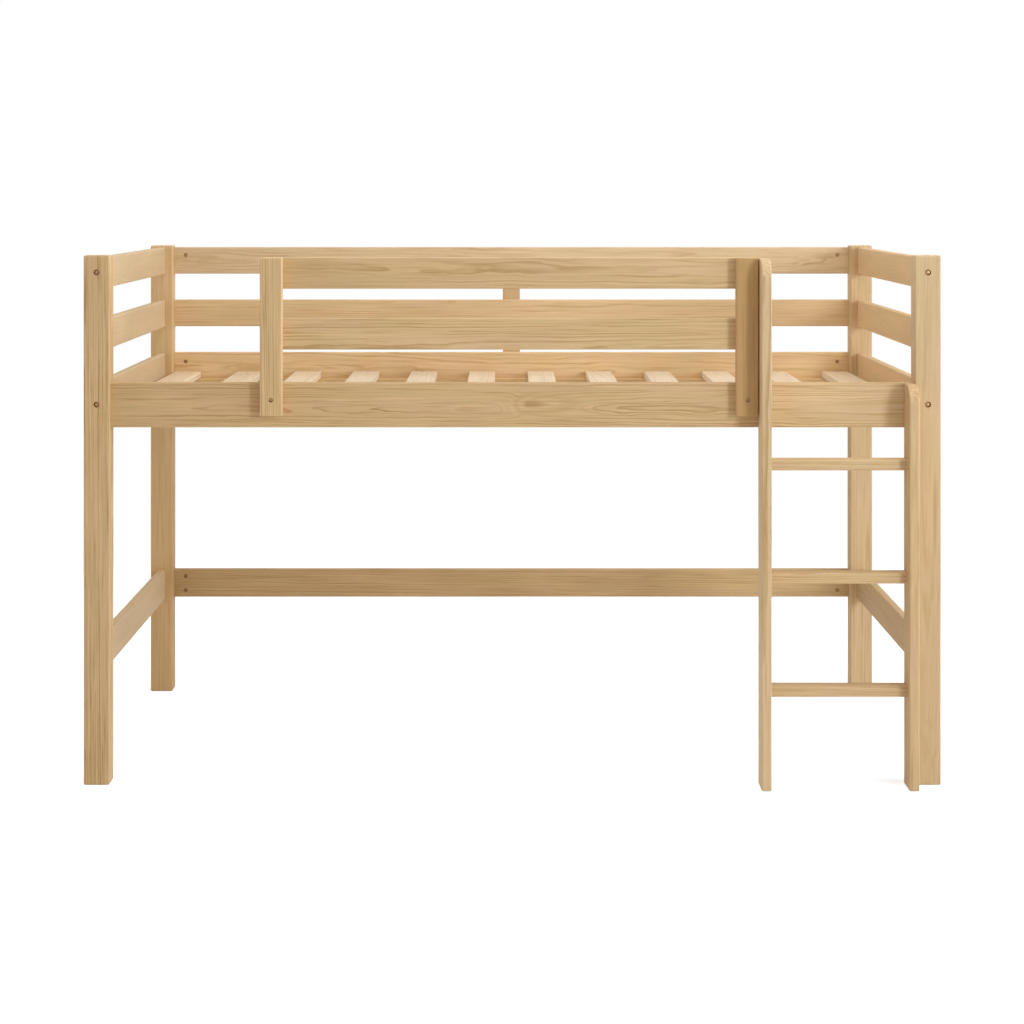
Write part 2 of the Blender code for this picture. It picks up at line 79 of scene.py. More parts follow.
# Bolts and barrel nuts, as the CAD solids have them
HEAD_RECESS = 0.005
HEAD_HEIGHT = 0.0035
HEAD_RADIUS = 0.005
POST_BORE_RADIUS = 0.007
SHANK_RADIUS = 0.003
NUT_RADIUS = 0.005
NUT_LENGTH = 0.014
BOLT_PAST_NUT = 0.003
HOLE_PLAY = 0.0004
BOARD_THICKNESS = 0.020
CUT_OVERRUN = 0.002
SLOT_DEPTH = 0.0015
SEAT_GAP = 0.0002

# How finely the meshes are rounded
ROUND_SIDES = 40
SOCKET_SIDES = 6
CROWN_STEPS = 5
EDGE_SEGMENTS = 5
NOSE_SEGMENTS = 20
SHARP_ANGLE = math.radians(35)
MERGE_DISTANCE = 0.00001

# A knot or a streak of resin that lies this far off doesn't show.
FAR_OFF = (9.0, 9.0)

# How a board was sawn, how light and how warm it is, how strong its figure is, where a knot and a streak of resin
# lie from its middle, along and across, and how much lighter and warmer it gets per metre towards its right or
# upper end. That last slope is painted light: lighter towards the end where more light falls. On boards in shade,
# the tone and warmth are partly painted shade as well.
Timber = namedtuple(
    "Timber", "sawn tone warmth figure knot resin fade", defaults=(0.0, 0.4, 1.0, FAR_OFF, FAR_OFF, (0.0, 0.0))
)


# ---- settings ----


class LOFTBED_PG_wood(bpy.types.PropertyGroup):
    """Sizes and colours of the pine boards."""

    edge_radius: FloatProperty(
        name="Edge Radius",
        description="Rounding of the boards' long edges",
        default=0.003,
        unit="LENGTH",
    )
    slat_edge_radius: FloatProperty(
        name="Slat Edge Radius",
        description="Rounding of the slats' long edges",
        default=0.0025,
        unit="LENGTH",
    )
    nose_radius: FloatProperty(
        name="Ladder Nose Radius",
        description="Radius of the ladder sides' top front corner",
        default=0.045,
        unit="LENGTH",
    )
    ring_width: FloatProperty(
        name="Ring Width",
        description="Mean width of one growth ring",
        default=0.0046,
        unit="LENGTH",
    )
    ring_contrast: FloatProperty(
        name="Ring Contrast",
        description="How strongly the late wood of a ring is drawn",
        default=0.72,
        subtype="FACTOR",
    )
    # Cream: on the slats it is partly a painted highlight for their lit tops.
    cream: FloatVectorProperty(
        name="Cream",
        description="Early wood of the palest boards",
        default=(0.76, 0.62, 0.44),
        subtype="COLOR",
        size=3,
    )
    straw: FloatVectorProperty(
        name="Straw",
        description="Early wood where it is yellow",
        default=(0.65, 0.470, 0.243),
        subtype="COLOR",
        size=3,
    )
    rose: FloatVectorProperty(
        name="Rose",
        description="Early wood where it is pink",
        default=(0.675, 0.468, 0.262),
        subtype="COLOR",
        size=3,
    )
    warm: FloatVectorProperty(
        name="Warm Pine",
        description="Early wood of the warmest boards",
        default=(0.64, 0.395, 0.17),
        subtype="COLOR",
        size=3,
    )
    late: FloatVectorProperty(
        name="Late Wood",
        description="Dark band of the growth rings",
        default=(0.42, 0.235, 0.08),
        subtype="COLOR",
        size=3,
    )
    knot: FloatVectorProperty(
        name="Knot",
        description="Heart of a knot",
        default=(0.30, 0.16, 0.06),
        subtype="COLOR",
        size=3,
    )


class LOFTBED_PG_hardware(bpy.types.PropertyGroup):
    """Sizes and colours of the bolts and barrel nuts."""

    steel: FloatVectorProperty(
        name="Bronzed Steel",
        description="Colour of the bolts and barrel nuts",
        default=(0.42, 0.26, 0.11),
        subtype="COLOR",
        size=3,
    )
    # Painted shade: a darker copy of the steel for the fittings at the rear stretcher, under the deck.
    tarnished_steel: FloatVectorProperty(
        name="Shade-Painted Steel",
        description="Colour of the bolts and barrel nuts at the rear stretcher, which are darker",
        default=(0.27, 0.135, 0.04),
        subtype="COLOR",
        size=3,
    )
    head_crown: FloatProperty(
        name="Head Crown",
        description="How far a bolt head is domed",
        default=0.0006,
        unit="LENGTH",
    )
    socket_across: FloatProperty(
        name="Socket Size",
        description="Size of the hexagon socket across its corners",
        default=0.0046,
        unit="LENGTH",
    )
    socket_depth: FloatProperty(
        name="Socket Depth",
        description="Depth of the hexagon socket",
        default=0.0012,
        unit="LENGTH",
    )
    nut_chamfer: FloatProperty(
        name="Nut Chamfer",
        description="Chamfer round the ends of a barrel nut",
        default=0.0006,
        unit="LENGTH",
    )
    slot_width: FloatProperty(
        name="Nut Slot Width",
        description="Width of the screwdriver slot in a barrel nut",
        default=0.0014,
        unit="LENGTH",
    )


class LOFTBED_PG_stage(bpy.types.PropertyGroup):
    """Floor, light and camera."""

    floor: FloatVectorProperty(
        name="Floor",
        description="Colour of the floor",
        default=(0.82, 0.82, 0.82),
        subtype="COLOR",
        size=3,
    )
    fill: FloatProperty(
        name="Fill",
        description="Strength of the light from all round",
        default=0.33,
    )
    fill_colour: FloatVectorProperty(
        name="Fill Colour",
        description="Colour of the light from all round",
        default=(1.0, 0.89, 0.77),
        subtype="COLOR",
        size=3,
    )
    cool_colour: FloatVectorProperty(
        name="Cool Colour",
        description="Colour of the light from the soft boxes at the right",
        default=(1.0, 1.07, 1.17),
        subtype="COLOR",
        size=3,
        max=2.0,
    )
    plain_colour: FloatVectorProperty(
        name="Plain Colour",
        description="Colour of the light from the other soft boxes",
        default=(1.0, 1.02, 1.06),
        subtype="COLOR",
        size=3,
        max=2.0,
    )
    key_power: FloatProperty(
        name="Key Power",
        description="Power of the soft box in front at the right",
        default=54.0,
        unit="POWER",
    )
    right_power: FloatProperty(
        name="Right Power",
        description="Power of the soft box at the ladder end",
        default=95.0,
        unit="POWER",
    )
    left_power: FloatProperty(
        name="Left Power",
        description="Power of the soft box at the other end",
        default=63.0,
        unit="POWER",
    )
    top_power: FloatProperty(
        name="Top Power",
        description="Power of the soft box overhead",
        default=112.0,
        unit="POWER",
    )
    back_power: FloatProperty(
        name="Back Power",
        description="Power of the soft box at the wall side",
        default=36.0,
        unit="POWER",
    )


# ---- shader nodes ----


class Graph:
    """Adds nodes to a tree, with their sockets set or linked in one call."""

    def __init__(self, tree):
        self.tree = tree

    def node(self, kind, sockets=None, **settings):
        made = self.tree.nodes.new(kind)
        for key, value in settings.items():
            setattr(made, key, value)
        for key, value in (sockets or {}).items():
            self.put(made.inputs[key], value)
        return made

    def put(self, socket, value):
        if isinstance(value, bpy.types.NodeSocket):
            self.tree.links.new(value, socket)
        else:
            socket.default_value = value

    def math(self, operation, *values):
        return self.node("ShaderNodeMath", dict(enumerate(values)), operation=operation).outputs[0]

    def vector(self, operation, *values):
        made = self.node("ShaderNodeVectorMath", operation=operation)
        for socket, value in zip(made.inputs, values):
            self.put(socket, value)
        return made.outputs["Value" if operation in {"LENGTH", "DOT_PRODUCT"} else "Vector"]

    def scaled(self, vector, factor):
        made = self.node("ShaderNodeVectorMath", {"Vector": vector, "Scale": factor}, operation="SCALE")
        return made.outputs["Vector"]

    def attribute(self, name):
        return self.node("ShaderNodeAttribute", attribute_name=name)

    def noise(self, vector, stretch, detail=2.0, roughness=0.5):
        """Noise with that many blobs per metre along, across and through the board."""
        at = self.vector("MULTIPLY", vector, stretch)
        sockets = {"Vector": at, "Scale": 1.0, "Detail": detail, "Roughness": roughness}
        return self.node("ShaderNodeTexNoise", sockets)

    def smooth_step(self, value, low, high):
        sockets = {"Value": value, "From Min": low, "From Max": high}
        made = self.node("ShaderNodeMapRange", sockets, interpolation_type="SMOOTHSTEP")
        return made.outputs[0]

    def mix_colours(self, factor, first, second):
        made = self.node("ShaderNodeMix", data_type="RGBA")
        self.put(made.inputs[0], factor)
        self.put(made.inputs[6], first)
        self.put(made.inputs[7], second)
        return made.outputs[2]

    def seen(self):
        """1 where the camera sees the surface, straight, mirrored or through glass, and 0 where it gives light."""
        path = self.node("ShaderNodeLightPath")
        direct = self.math("ADD", path.outputs["Is Camera Ray"], path.outputs["Is Glossy Ray"])
        return self.math("MINIMUM", self.math("ADD", direct, path.outputs["Is Transmission Ray"]), 1.0)

    def bump(self, strength, distance, height):
        sockets = {"Strength": strength, "Distance": distance, "Height": height}
        return self.node("ShaderNodeBump", sockets).outputs[0]


def rgba(colour):
    return (*colour, 1.0)


def new_material(name):
    """An empty material and its graph, its output and its Principled shader."""
    material = bpy.data.materials.new(name)
    material.use_nodes = True
    material.node_tree.nodes.clear()
    graph = Graph(material.node_tree)
    shader = graph.node("ShaderNodeBsdfPrincipled")
    output = graph.node("ShaderNodeOutputMaterial", {"Surface": shader.outputs[0]})
    return material, graph, shader, output


# Noise in pine, as blobs per metre along, across and through the board
WANDER = (1.5, 9.0, 9.0)
RIPPLE = (8.0, 45.0, 45.0)
PATCHES = (3.0, 26.0, 26.0)
STRANDS = (5.5, 210.0, 210.0)
FIBRES = (14.0, 900.0, 900.0)
ACROSS_ONLY = (0.0, 1.0, 1.0)
NOISE_MEAN = (0.5, 0.5, 0.5)
RIPPLE_SHARE = 0.4

# A knot: how fast its reach ends on its long side, its short side and across, and what it does to the rings
KNOT_ALONG = (7.5, -26.0)
KNOT_ACROSS = 36.0
KNOT_FALL = -0.8
KNOT_BULGE = 0.014
KNOT_RINGS = 10.0
KNOT_RING_DEPTH = 0.45
HEART_FALL = -22.0
HEART_DEPTH = 0.4

# Growth rings: how unlike the years are, where the late wood rises and ends in a year, and where rings fade
YEAR_NOISE = 60.0
YEAR_SHIFT = 4.0
LATE_RISE = (0.40, 0.85)
LATE_END = (0.88, 1.0)
LEAST_LATE = 0.2
RING_FADE = (0.38, 0.60)
LEAST_RINGS = 0.25

# Strands, patches of hue and streaks of resin
DARK_STRAND = (0.52, 0.72)
DARK_STRAND_DEPTH = 0.42
LIGHT_STRAND = (0.48, 0.30)
LIGHT_STRAND_GAIN = 0.08
HUE_PATCH = (0.36, 0.64)
PATCH_GAIN = 0.2
RESIN_REACH = (8.5, 190.0, 0.0)
RESIN_RAGGEDNESS = 0.9
RESIN_EDGE = (0.35, 1.15)
RESIN_DEPTH = 0.45

# The pine's surface: roughness as (spread, least), the groove that late wood leaves between the fibres, and the
# bump as (strength, distance)
PINE_ROUGHNESS = (0.16, 0.52)
PINE_SPECULAR = 0.07
LATE_GROOVE = -0.6
PINE_BUMP = (0.25, 0.0002)


def pine_material(wood):
    """Pine sawn from a log: growth rings round the pith, which every face cuts in its own way.

    Each board carries its place in the log in the attribute grain (along, across and through the log from
    the pith, in metres), its place beside a knot in knot and beside a streak of resin in resin, and its tone,
    warmth and figure in timber. The tone and warmth also hold painted light along the board and, on boards in
    shade, painted shade.
    """
    if "pine" in bpy.data.materials:
        return bpy.data.materials["pine"]
    material, graph, shader, _ = new_material("pine")
    grain = graph.attribute("grain").outputs["Vector"]
    timber = graph.node("ShaderNodeSeparateXYZ", {"Vector": graph.attribute("timber").outputs["Vector"]})
    tone, warmth, figure = timber.outputs

    # The fibres wander a little, so that the rings do as well.
    wander = graph.vector("SUBTRACT", graph.noise(grain, WANDER).outputs["Color"], NOISE_MEAN)
    ripple = graph.vector("SUBTRACT", graph.noise(grain, RIPPLE).outputs["Color"], NOISE_MEAN)
    wave = graph.attribute("wave").outputs["Fac"]
    warped = graph.vector("MULTIPLY_ADD", graph.scaled(wander, wave), ACROSS_ONLY, grain)
    ripple = graph.scaled(ripple, graph.math("MULTIPLY", wave, RIPPLE_SHARE))
    warped = graph.vector("MULTIPLY_ADD", ripple, ACROSS_ONLY, warped)
    radius = graph.vector("LENGTH", graph.vector("MULTIPLY", warped, ACROSS_ONLY))

    # Round a knot the rings bulge, further on the one side, and it has rings of its own.
    beside = graph.node("ShaderNodeSeparateXYZ", {"Vector": graph.attribute("knot").outputs["Vector"]})
    aside = graph.math("MAXIMUM", *(graph.math("MULTIPLY", beside.outputs[0], factor) for factor in KNOT_ALONG))
    reach = graph.math("MULTIPLY", beside.outputs[1], KNOT_ACROSS)
    reach = graph.math("SQRT", graph.math("MULTIPLY_ADD", reach, reach, graph.math("MULTIPLY", aside, aside)))
    near = graph.math("EXPONENT", graph.math("MULTIPLY", graph.math("MULTIPLY", reach, reach), KNOT_FALL))
    radius = graph.math("MULTIPLY_ADD", near, KNOT_BULGE, radius)

    # Seasons: a slow rise to the late wood and a sudden end, unlike from year to year.
    uneven = graph.node(
        "ShaderNodeTexNoise",
        {"W": graph.math("MULTIPLY", radius, YEAR_NOISE), "Scale": 1.0, "Detail": 2.0},
        noise_dimensions="1D",
    ).outputs[0]
    years = graph.math("MULTIPLY_ADD", uneven, YEAR_SHIFT, graph.math("DIVIDE", radius, wood.ring_width))
    season = graph.math("FRACT", years)
    rise = graph.smooth_step(season, *LATE_RISE)
    end = graph.math("SUBTRACT", 1.0, graph.smooth_step(season, *LATE_END))
    year = graph.node(
        "ShaderNodeTexWhiteNoise", {"W": graph.math("FLOOR", years)}, noise_dimensions="1D"
    ).outputs["Value"]
    year = graph.math("MULTIPLY_ADD", year, 1.0 - LEAST_LATE, LEAST_LATE)
    late = graph.math("MULTIPLY", graph.math("MULTIPLY", rise, end), year)

    # The rings fade in and out along the board, and finer strands lie between them.
    broad = graph.noise(grain, PATCHES, 3.0).outputs["Color"]
    patches = graph.node("ShaderNodeSeparateXYZ", {"Vector": broad})
    strand = graph.noise(grain, STRANDS, 3.0, 0.6).outputs[0]
    dark_strand = graph.smooth_step(strand, *DARK_STRAND)
    light_strand = graph.smooth_step(strand, *LIGHT_STRAND)
    fading = graph.smooth_step(patches.outputs[2], *RING_FADE)
    late = graph.math("MULTIPLY", late, graph.math("MULTIPLY_ADD", fading, 1.0 - LEAST_RINGS, LEAST_RINGS))
    knot_rings = graph.math("SINE", graph.math("MULTIPLY", reach, KNOT_RINGS))
    knot_rings = graph.math("MULTIPLY", graph.math("MULTIPLY_ADD", knot_rings, 0.5, 0.5), near)
    late = graph.math("MAXIMUM", late, graph.math("MULTIPLY", knot_rings, KNOT_RING_DEPTH))
    late = graph.math("MULTIPLY", late, figure)

    # The early wood's hue, and then the dark marks on it: late wood, the knot's heart, resin and strands.
    hue = graph.smooth_step(patches.outputs[0], *HUE_PATCH)
    early = graph.mix_colours(hue, rgba(wood.straw), rgba(wood.rose))
    # Negative warmth pulls the early wood towards cream, and positive warmth towards warm pine. The warm pull is
    # partly painted shade on boards in shade, and the cream is partly a painted highlight on the slats.
    early = graph.mix_colours(graph.math("MULTIPLY", warmth, -1.0), early, rgba(wood.cream))
    early = graph.mix_colours(warmth, early, rgba(wood.warm))
    colour = graph.mix_colours(graph.math("MULTIPLY", late, wood.ring_contrast), early, rgba(wood.late))
    heart = graph.math("EXPONENT", graph.math("MULTIPLY", graph.math("MULTIPLY", reach, reach), HEART_FALL))
    colour = graph.mix_colours(graph.math("MULTIPLY", heart, HEART_DEPTH), colour, rgba(wood.knot))
    spill = graph.vector("MULTIPLY", graph.attribute("resin").outputs["Vector"], RESIN_REACH)
    spill = graph.vector("LENGTH", spill)
    ragged = graph.math("MULTIPLY", graph.math("SUBTRACT", strand, 0.5), RESIN_RAGGEDNESS)
    resin = graph.math("SUBTRACT", 1.0, graph.smooth_step(graph.math("ADD", spill, ragged), *RESIN_EDGE))
    colour = graph.mix_colours(graph.math("MULTIPLY", resin, RESIN_DEPTH), colour, rgba(wood.late))
    streaks = graph.math("MULTIPLY", graph.math("MULTIPLY", dark_strand, figure), DARK_STRAND_DEPTH)
    colour = graph.mix_colours(streaks, colour, rgba(wood.late))
    shade = graph.math("MULTIPLY_ADD", graph.math("MULTIPLY", light_strand, figure), LIGHT_STRAND_GAIN, 1.0)
    shade = graph.math("MULTIPLY_ADD", graph.math("SUBTRACT", patches.outputs[1], 0.5), PATCH_GAIN, shade)
    # The tone adds the painted light slope and, on boards in shade, painted shade to the wood's own lightness.
    shade = graph.math("ADD", shade, tone)
    graph.put(shader.inputs["Base Color"], graph.scaled(colour, shade))

    graph.put(shader.inputs["Roughness"], graph.math("MULTIPLY_ADD", strand, *PINE_ROUGHNESS))
    shader.inputs["Specular IOR Level"].default_value = PINE_SPECULAR
    fibre = graph.noise(grain, FIBRES, 2.0, 0.6).outputs[0]
    height = graph.math("MULTIPLY_ADD", late, LATE_GROOVE, fibre)
    graph.put(shader.inputs["Normal"], graph.bump(*PINE_BUMP, height))
    return material


# Steel: spots of wear and turning marks per metre, how much paler the worn spots are, and roughness as
# (spread, least)
WEAR = (300.0, 300.0, 300.0)
WEAR_EDGE = (0.35, 0.75)
WEAR_GAIN = 1.15
TURNING_MARKS = (2500.0, 2500.0, 400.0)
STEEL_ROUGHNESS = (0.2, 0.22)
STEEL_METALLIC = 0.6
STEEL_BUMP = (0.2, 0.00005)


def steel_material(hardware, shade_painted):
    """Bronzed steel with fine turning marks and slight wear."""
    name = "tarnished_fittings" if shade_painted else "bronzed_fittings"
    if name in bpy.data.materials:
        return bpy.data.materials[name]
    # The darker copy for the rear stretcher's fittings is painted shade under the deck.
    steel = hardware.tarnished_steel if shade_painted else hardware.steel
    material, graph, shader, _ = new_material(name)
    place = graph.node("ShaderNodeTexCoord").outputs["Object"]
    spots = graph.noise(place, WEAR, 3.0).outputs[0]
    pale = tuple(channel * WEAR_GAIN for channel in steel)
    colour = graph.mix_colours(graph.smooth_step(spots, *WEAR_EDGE), rgba(steel), rgba(pale))
    graph.put(shader.inputs["Base Color"], colour)
    shader.inputs["Metallic"].default_value = STEEL_METALLIC
    graph.put(shader.inputs["Roughness"], graph.math("MULTIPLY_ADD", spots, *STEEL_ROUGHNESS))
    marks = graph.noise(place, TURNING_MARKS).outputs[0]
    graph.put(shader.inputs["Normal"], graph.bump(*STEEL_BUMP, marks))
    return material


# ---- meshes ----


def finish_mesh(build, name):
    """A mesh from the bmesh, which is used up."""
    bmesh.ops.recalc_face_normals(build, faces=build.faces)
    mesh = bpy.data.meshes.new(name)
    build.to_mesh(mesh)
    build.free()
    return mesh


def link(name, mesh):
    piece = bpy.data.objects.new(name, mesh)
    bpy.context.scene.collection.objects.link(piece)
    return piece


def box_build(size):
    build = bmesh.new()
    bmesh.ops.create_cube(build, size=1.0)
    bmesh.ops.scale(build, vec=size, verts=build.verts)
    return build


def round_off(build, edges, radius, segments):
    bmesh.ops.bevel(
        build,
        geom=edges,
        offset=radius,
        offset_type="OFFSET",
        segments=segments,
        profile=0.5,
        affect="EDGES",
        clamp_overlap=True,
    )


def sharp_edges(build):
    return [edge for edge in build.edges if edge.calc_face_angle(0.0) > SHARP_ANGLE]


def edges_along(build, axis, length):
    """The edges of a box along one axis, on which the box has that length."""
    return [edge for edge in build.edges if abs((edge.verts[1].co - edge.verts[0].co)[axis]) > length / 2]


def lathe_build(profile, sides=ROUND_SIDES):
    """Turns (radius, height) points round Z. The first and last lie on the axis."""
    build = bmesh.new()
    points = [build.verts.new((radius, 0.0, height)) for radius, height in profile]
    edges = [build.edges.new(pair) for pair in zip(points, points[1:])]
    bmesh.ops.spin(
        build,
        geom=points + edges,
        cent=(0, 0, 0),
        axis=(0, 0, 1),
        angle=math.tau,
        steps=sides,
        use_merge=True,
    )
    bmesh.ops.remove_doubles(build, verts=build.verts, dist=MERGE_DISTANCE)
    return build


def aimed(point, direction):
    """The placement that turns +Z to the direction and puts the origin at the point."""
    return Matrix.Translation(point) @ direction.to_track_quat("Z", "Y").to_matrix().to_4x4()


def prism_build(radius, length, sides):
    """A closed prism along Z, round its middle."""
    build = bmesh.new()
    bmesh.ops.create_cone(build, cap_ends=True, segments=sides, radius1=radius, radius2=radius, depth=length)
    return build


def rod(start, end, radius):
    along = end - start
    build = prism_build(radius, along.length, ROUND_SIDES)
    build.transform(aimed((start + end) / 2, along))
    return finish_mesh(build, "rod")


def cut(piece, cutters):
    """Cuts all the meshes, given in world places, from the piece and makes the result its mesh."""
    group = bpy.data.collections.new("cutters")
    bpy.context.scene.collection.children.link(group)
    tools = []
    for mesh in cutters:
        tool = bpy.data.objects.new("cutter", mesh)
        group.objects.link(tool)
        tools.append(tool)
    modifier = piece.modifiers.new("Holes", "BOOLEAN")
    modifier.operation = "DIFFERENCE"
    modifier.solver = "EXACT"
    modifier.operand_type = "COLLECTION"
    modifier.collection = group
    apply_modifiers(piece)
    for tool in tools:
        bpy.data.objects.remove(tool)
    bpy.data.collections.remove(group)


def apply_modifiers(piece):
    bpy.context.view_layer.update()
    shaped = piece.evaluated_get(bpy.context.evaluated_depsgraph_get())
    mesh = bpy.data.meshes.new_from_object(shaped)
    piece.modifiers.clear()
    piece.data = mesh


def smooth_round(mesh):
    """Smooth shading but for the sharp edges."""
    mesh.polygons.foreach_set("use_smooth", [True] * len(mesh.polygons))
    mesh.set_sharp_from_angle(angle=SHARP_ANGLE)


def smooth_board(piece):
    """Smooth over the rounded edges and flat elsewhere."""
    smooth_round(piece.data)
    modifier = piece.modifiers.new("Flat faces", "WEIGHTED_NORMAL")
    modifier.keep_sharp = True
    apply_modifiers(piece)


def dress(piece, material, slot, *nodes):
    """Gives the piece its material and its place in the model."""
    piece.data.materials.clear()
    piece.data.materials.append(material)
    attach(piece, BODY)
    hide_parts(*nodes)
    return piece


# ---- boards ----

# How each board was sawn: the pith's distance across and through the board, the slope of the fibres, and how
# far they wander.
FLAT_SAWN = {"across": (-0.015, 0.015), "through": (0.022, 0.045), "slope": 0.022, "wave": 0.024}
RIFT_SAWN = {"across": (0.030, 0.050), "through": (0.020, 0.040), "slope": 0.012, "wave": 0.016}
QUARTER_SAWN = {"across": (0.060, 0.100), "through": (0.000, 0.012), "slope": 0.008, "wave": 0.009}

# Sawn dowel ends are this much darker.
PEG_TONE = -0.35

# The length of log that boards are drawn from, and the number of the draw
LOG_LENGTH = 40.0
GRAIN_DRAW = 0


def carry_grain(piece, timber, body_half):
    """Writes on the mesh the board's place in its log, its place beside its knot, and its tone, warmth and figure.

    The grain runs along the board's longest side, and the tone and warmth carry the painted light slope along
    it. The draws depend on the piece's name alone. Dowel ends lie further out than body_half.
    """
    draw = random.Random(f"{piece.name} {GRAIN_DRAW}")
    mesh = piece.data
    corners = [vertex.co for vertex in mesh.vertices]
    spans = [round(max(c[axis] for c in corners) - min(c[axis] for c in corners), 4) for axis in range(3)]
    along, across, through = sorted(range(3), key=lambda axis: -spans[axis])
    sawn = timber.sawn
    start = draw.uniform(0.0, LOG_LENGTH)
    pith_across = draw.uniform(*sawn["across"]) * draw.choice((-1, 1))
    pith_through = draw.uniform(*sawn["through"]) * draw.choice((-1, 1))
    slope = draw.uniform(-1.0, 1.0) * sawn["slope"]
    rise = draw.uniform(-1.0, 1.0) * sawn["slope"]
    grain = []
    beside = []
    resin = []
    looks = []
    for corner in corners:
        u, v, w = corner[along], corner[across], corner[through]
        grain += (u + start, v + pith_across + slope * u, w + pith_through + rise * u)
        beside += (u - timber.knot[0], v - timber.knot[1], 0.0)
        resin += (u - timber.resin[0], v - timber.resin[1], 0.0)
        # Painted light: the tone and warmth change along the board, lighter towards the end where more light falls.
        tone = timber.tone + timber.fade[0] * u + (PEG_TONE if abs(u) > body_half + SHANK_RADIUS else 0.0)
        looks += (tone, timber.warmth + timber.fade[1] * u, timber.figure)
    for name, values in (("grain", grain), ("knot", beside), ("resin", resin), ("timber", looks)):
        mesh.attributes.new(name, "FLOAT_VECTOR", "POINT").data.foreach_set("vector", values)
    wave = [sawn["wave"]] * len(corners)
    mesh.attributes.new("wave", "FLOAT", "POINT").data.foreach_set("value", wave)


def board_box(node, pegs):
    """The board's own corners: the CAD solid's without its dowels, given as {side: reach}."""
    low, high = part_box(node)
    for side, reach in pegs.items():
        axis = "XYZ".index(side[-1].upper())
        if side[0] == "-":
            low[axis] += reach
        else:
            high[axis] -= reach
    return low, high


def make_board(name, node, slot, wood, timber, pegs=None, radius=None, square=False, holes=()):
    """A planed board in the place of a CAD node. A square one has sawn ends, and the others are eased all round."""
    low, high = board_box(node, pegs or {})
    size = high - low
    build = box_build(size)
    longest = max(range(3), key=lambda axis: size[axis])
    edges = edges_along(build, longest, size[longest]) if square else list(build.edges)
    round_off(build, edges, wood.edge_radius if radius is None else radius, EDGE_SEGMENTS)
    piece = link(name, finish_mesh(build, name))
    finish_board(piece, (low + high) / 2, holes, node, slot, wood, timber)


def finish_board(piece, centre, holes, node, slot, wood, timber, body_half=math.inf):
    piece.location = centre
    if holes:
        cut(piece, holes)
    smooth_board(piece)
    carry_grain(piece, timber, body_half)
    dress(piece, pine_material(wood), slot, node)


# ---- hardware ----


class Bolt:
    """Where a bolt of the CAD lies: its axis, the face that it is sunk into, and its barrel nut."""

    def __init__(self, node, outward, nut_side=None, bore_radius=HEAD_RADIUS + HOLE_PLAY):
        low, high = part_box(node)
        axis = max(range(3), key=lambda i: abs(outward[i]))
        ends = [(low + high) / 2, (low + high) / 2]
        ends[0][axis], ends[1][axis] = low[axis], high[axis]
        self.tip, self.head = ends if outward[axis] > 0 else reversed(ends)
        self.node = node
        self.outward = outward
        self.nut_side = nut_side
        self.bore_radius = bore_radius
        self.length = (self.head - self.tip).length
        self.nut = self.tip + outward * (BOLT_PAST_NUT + NUT_RADIUS)

    def hole(self):
        """The stepped hole for the head and shank."""
        profile = (
            (0.0, HEAD_RECESS + CUT_OVERRUN),
            (self.bore_radius, HEAD_RECESS + CUT_OVERRUN),
            (self.bore_radius, -HEAD_HEIGHT),
            (SHANK_RADIUS + HOLE_PLAY, -HEAD_HEIGHT),
            (SHANK_RADIUS + HOLE_PLAY, -self.length - HOLE_PLAY),
            (0.0, -self.length - HOLE_PLAY),
        )
        build = lathe_build(profile)
        build.transform(aimed(self.head, self.outward))
        return finish_mesh(build, "cutter")

    def pocket(self):
        """The hole across the rail that holds the barrel nut."""
        inner = self.nut - self.nut_side * (NUT_LENGTH / 2)
        outer = self.nut + self.nut_side * (BOARD_THICKNESS / 2 + CUT_OVERRUN)
        return rod(inner, outer, NUT_RADIUS + HOLE_PLAY)


def all_bolts():
    places = {}
    for end, outward in ENDS:
        for level in ("top_rail", "deck_rail"):
            places[f"bolt_{level}_front_{end}"] = (-Y_AXIS, outward, POST_BORE_RADIUS)
        for rail, side in (("front_bed", Y_AXIS), ("rear_top", -Y_AXIS), ("rear_bed", -Y_AXIS)):
            places[f"bolt_{rail}_{end}"] = (outward, side)
        for number in (1, 2):
            places[f"bolt_rear_stretcher_{end}_{number}"] = (outward, -Y_AXIS)
        places[f"bolt_guard_{end}"] = (-Y_AXIS,)
        places[f"bolt_ladder_{end}"] = (Y_AXIS,)
    return {node: Bolt(node, *place) for node, place in places.items()}


BOLTS = all_bolts()


def holes_for(*names):
    return [BOLTS[name].hole() for name in names]


def pockets_for(*names):
    return [mesh for name in names for mesh in (BOLTS[name].hole(), BOLTS[name].pocket())]


def make_bolt(bolt, hardware):
    """A domed socket-head bolt and, where it has one, its slotted barrel nut."""
    crown = hardware.head_crown
    turns = [math.radians(step * 90 / CROWN_STEPS) for step in range(CROWN_STEPS + 1)]
    dome = [(HEAD_RADIUS * math.sin(turn), crown * (math.cos(turn) - 1.0)) for turn in turns]
    profile = (
        *dome,
        (HEAD_RADIUS, -HEAD_HEIGHT + SEAT_GAP),
        (SHANK_RADIUS, -HEAD_HEIGHT + SEAT_GAP),
        (SHANK_RADIUS, -bolt.length),
        (0.0, -bolt.length),
    )
    build = lathe_build(profile)
    build.transform(aimed(bolt.head, bolt.outward))
    piece = link(bolt.node.replace("bolt", "socket_bolt"), finish_mesh(build, bolt.node))
    turn = Matrix.Rotation(random.Random(bolt.node).uniform(0, math.tau), 4, "Z")
    socket = prism_build(hardware.socket_across / 2, 2 * hardware.socket_depth, SOCKET_SIDES)
    socket.transform(aimed(bolt.head, bolt.outward) @ turn)
    cut(piece, [finish_mesh(socket, "cutter")])
    if bolt.nut_side is not None:
        merge = bmesh.new()
        merge.from_mesh(piece.data)
        merge.from_mesh(make_nut(bolt, hardware))
        piece.data = finish_mesh(merge, bolt.node)
    smooth_round(piece.data)
    # The fittings at the rear stretcher get the darker steel, painted shade under the deck.
    dress(piece, steel_material(hardware, "stretcher" in bolt.node), "bronzed_steel", bolt.node)


